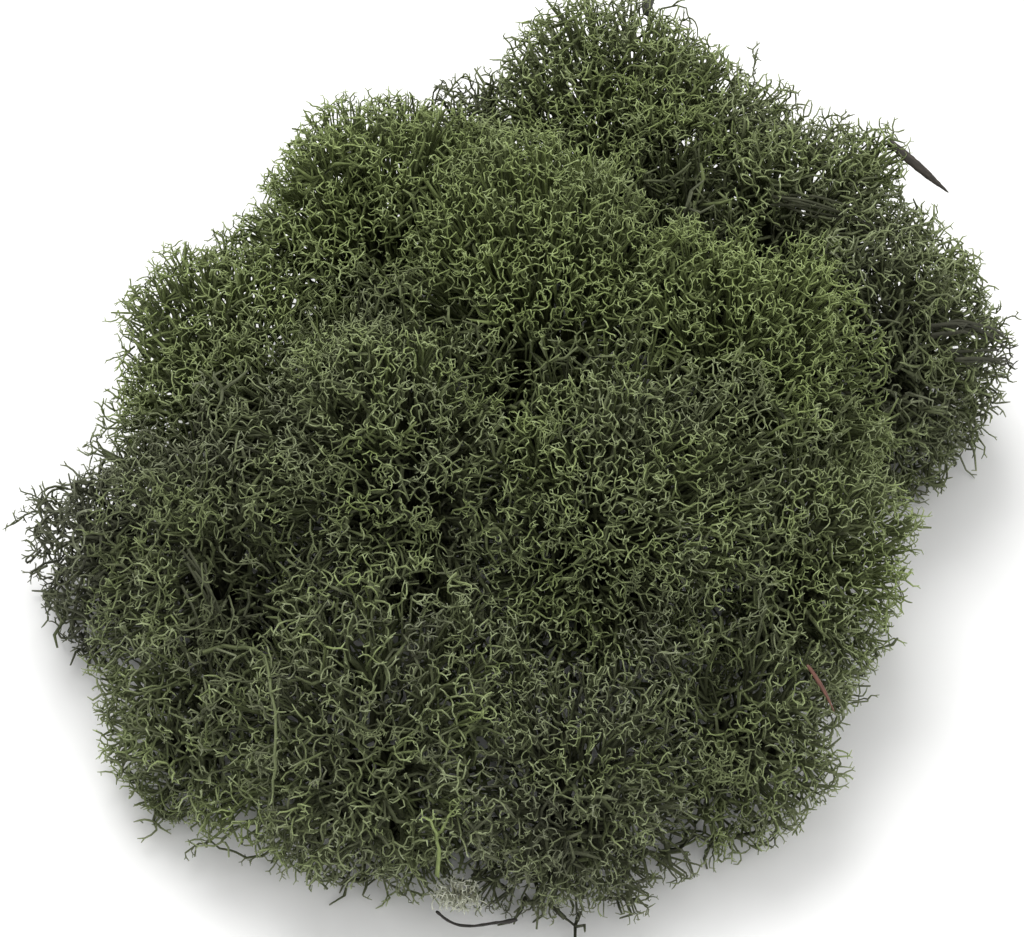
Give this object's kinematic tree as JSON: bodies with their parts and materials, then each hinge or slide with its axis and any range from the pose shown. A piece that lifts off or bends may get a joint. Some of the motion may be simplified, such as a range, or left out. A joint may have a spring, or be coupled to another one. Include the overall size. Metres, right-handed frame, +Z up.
{
  "type": "moss clump",
  "caption": "Loose cushion of olive-green reindeer moss heads pressed together, with a flat torn underside and a few dry plant scraps caught in it.",
  "frame": {"origin": "on the ground, under the middle of the clump's bounding box", "axes": "+Z up from the flat torn underside; +Y from the low front heads to the tall back ones; +X to the right as seen from the front"},
  "size_m": [0.1468, 0.1482, 0.0549],
  "materials": {
    "olive_moss": "matte dyed moss, bright olive at the tips",
    "grey_green_moss": "matte dyed moss, greyer and coarser",
    "dark_green_moss": "matte dyed moss, dark and open",
    "undyed_moss": "matte pale grey-olive moss that took no dye",
    "bark": "dry dark brown bark splinter",
    "needle": "dry red-brown pine needle, slightly glossy",
    "stalk": "dull grey-green cut stalk",
    "fibre": "dark wiry root fibre"
  },
  "bodies": {
    "root": {"crown_left": "olive_moss", "crown_middle": "olive_moss", "crown_right": "olive_moss", "back_top": "grey_green_moss", "back_shoulder": "grey_green_moss", "back_right": "grey_green_moss", "back_small": "dark_green_moss", "back_middle": "dark_green_moss", "left_top": "olive_moss", "left_side": "dark_green_moss", "left_middle": "olive_moss", "middle": "olive_moss", "middle_right": "olive_moss", "right_side": "olive_moss", "front_left": "olive_moss", "front_middle": "olive_moss", "front_bottom": "olive_moss", "right_lower": "olive_moss", "bark_splinter": "bark", "pine_needle": "needle", "cut_stalk": "stalk", "root_fibre": "fibre", "pale_scrap": "undyed_moss"}
  },
  "joints": []
}
